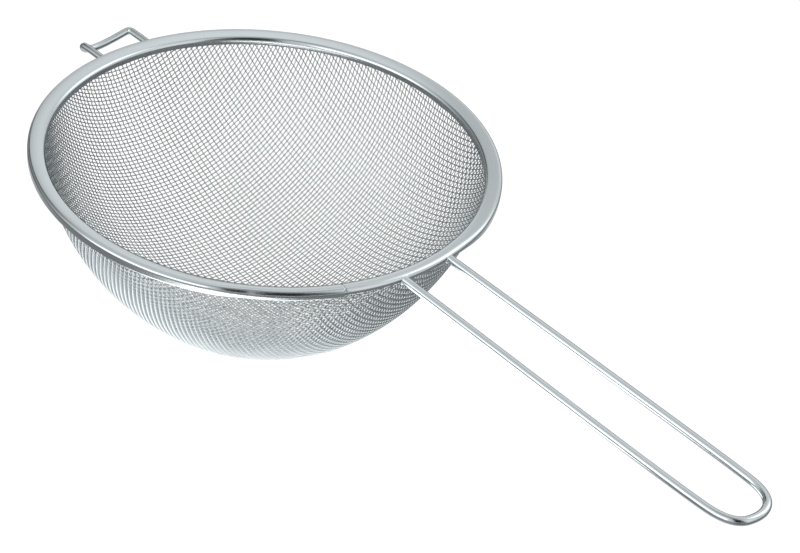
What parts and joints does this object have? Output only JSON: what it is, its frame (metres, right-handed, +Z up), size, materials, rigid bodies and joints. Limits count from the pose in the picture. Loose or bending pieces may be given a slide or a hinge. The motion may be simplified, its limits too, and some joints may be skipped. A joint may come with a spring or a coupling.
{
  "type": "kitchen sieve",
  "caption": "Round wire kitchen sieve with a folded steel rim, a deep woven bowl, a long wire loop handle and a small rest hook.",
  "frame": {"origin": "middle of the small flat on the underside of the bowl", "axes": "+Z up through the middle of the level rim, +X along the handle, XZ the plane of symmetry"},
  "size_m": [0.3827, 0.2, 0.0923],
  "materials": {
    "mesh_wire": "satin",
    "strip_steel": "gloss",
    "bright_wire": "gloss",
    "weld_steel": "satin"
  },
  "bodies": {
    "root": {"mesh_bowl": "mesh_wire", "rim_band": "strip_steel", "rim_wire": "bright_wire", "seam_weld": "weld_steel", "handle_loop": "bright_wire", "handle_welds": "weld_steel", "rest_hook": "bright_wire", "hook_welds": "weld_steel"}
  },
  "joints": []
}
